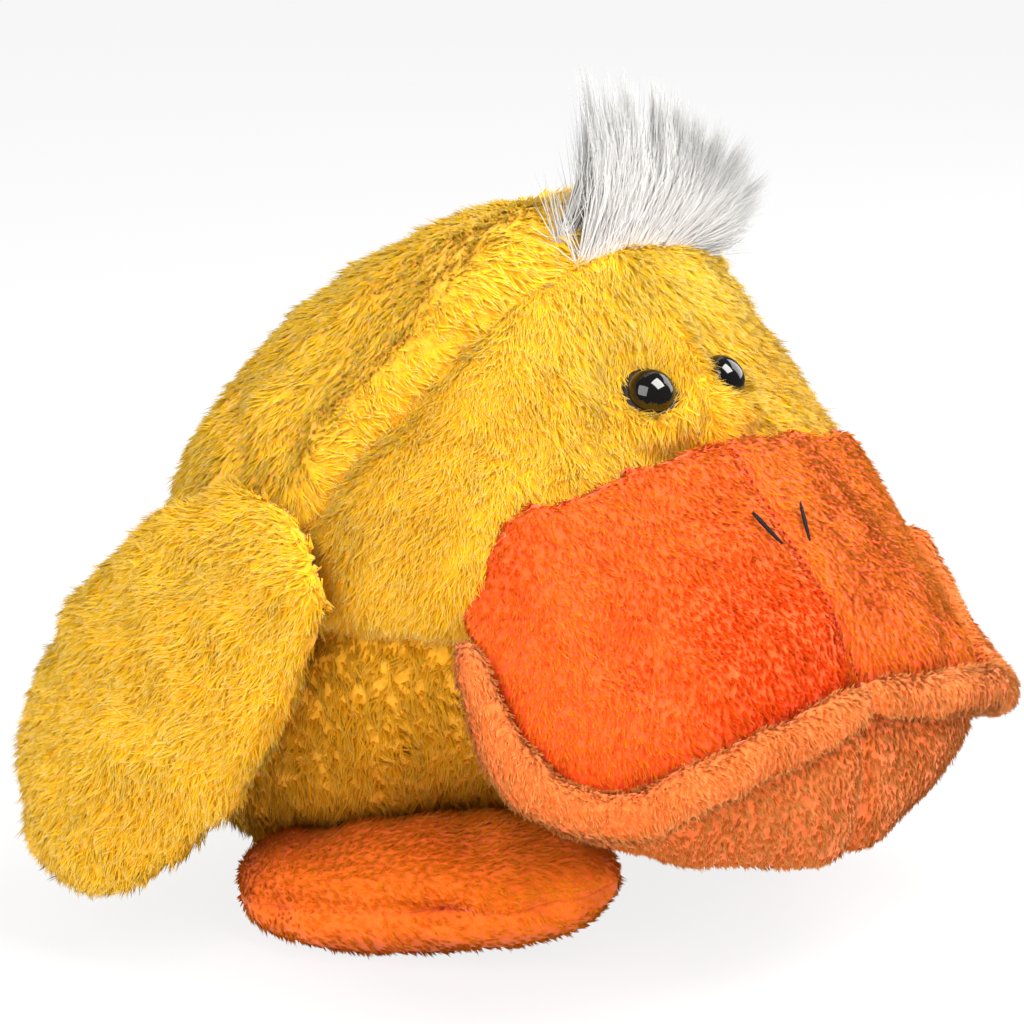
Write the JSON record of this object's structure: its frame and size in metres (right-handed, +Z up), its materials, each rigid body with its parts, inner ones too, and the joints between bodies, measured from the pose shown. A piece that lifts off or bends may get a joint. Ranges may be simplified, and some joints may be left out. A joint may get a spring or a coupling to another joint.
{
  "type": "plush duck",
  "caption": "Sitting stuffed plush duck with a very large padded bill, hanging wings, pad feet, safety eyes and a tuft of long pile on its head.",
  "frame": {"origin": "on the floor under the body, at the flat underside, on the plane of symmetry", "axes": "+Z up; the duck faces -Y and its right side is -X"},
  "size_m": [0.2796, 0.237, 0.2403],
  "materials": {
    "yellow_plush": "long golden-yellow plush pile, matte",
    "bill_plush": "short orange-red plush pile, matte",
    "lip_plush": "short light orange plush pile, matte",
    "foot_plush": "short orange plush pile, matte",
    "white_pile": "very long white pile",
    "black_plastic": "glossy black",
    "washer_plastic": "plain moulded",
    "black_thread": "satin stitch of black thread",
    "filling": "loose white fibre",
    "bag_cloth": "thin plain cloth bag with pellets"
  },
  "bodies": {
    "body": {"back_panel_left": "yellow_plush", "back_panel_right": "yellow_plush", "belly_panel": "yellow_plush", "body_filling": "filling", "eye_left": "black_plastic", "eye_right": "black_plastic", "eye_washer_left": "washer_plastic", "eye_washer_right": "washer_plastic", "face_panel_left": "yellow_plush", "face_panel_right": "yellow_plush", "lip_roll_left": "lip_plush", "lip_roll_right": "lip_plush", "lower_bill_filling": "filling", "lower_bill_left": "lip_plush", "lower_bill_right": "lip_plush", "nostril_stitch_left": "black_thread", "nostril_stitch_right": "black_thread", "pellet_bag": "bag_cloth", "tuft": "white_pile", "upper_bill_filling": "filling", "upper_bill_left": "bill_plush", "upper_bill_right": "bill_plush"},
    "wing_right": {"wing_outer_right": "yellow_plush", "wing_inner_right": "yellow_plush", "wing_filling_right": "filling"},
    "wing_left": {"wing_outer_left": "yellow_plush", "wing_inner_left": "yellow_plush", "wing_filling_left": "filling"},
    "foot_right": {"foot_upper_right": "foot_plush", "foot_sole_right": "foot_plush", "foot_filling_right": "filling"},
    "foot_left": {"foot_upper_left": "foot_plush", "foot_sole_left": "foot_plush", "foot_filling_left": "filling"}
  },
  "joints": [
    {"name": "wing_right_lift", "type": "hinge", "parent": "body", "child": "wing_right", "pos_m": [-0.09266, -0.0153, 0.12648], "axis": [0.121, 0.9004, 0.4178], "range_deg": [0, 90]},
    {"name": "wing_left_lift", "type": "hinge", "parent": "body", "child": "wing_left", "pos_m": [0.09266, -0.0153, 0.12648], "axis": [0.121, -0.9004, -0.4178], "range_deg": [0, 90]},
    {"name": "foot_right_droop", "type": "hinge", "parent": "body", "child": "foot_right", "pos_m": [-0.04037, 0.0121, 0.003], "axis": [0.8988, -0.4384, 0], "range_deg": [0, 40]},
    {"name": "foot_left_droop", "type": "hinge", "parent": "body", "child": "foot_left", "pos_m": [0.04037, 0.0121, 0.003], "axis": [0.8988, 0.4384, 0], "range_deg": [0, 40]}
  ]
}
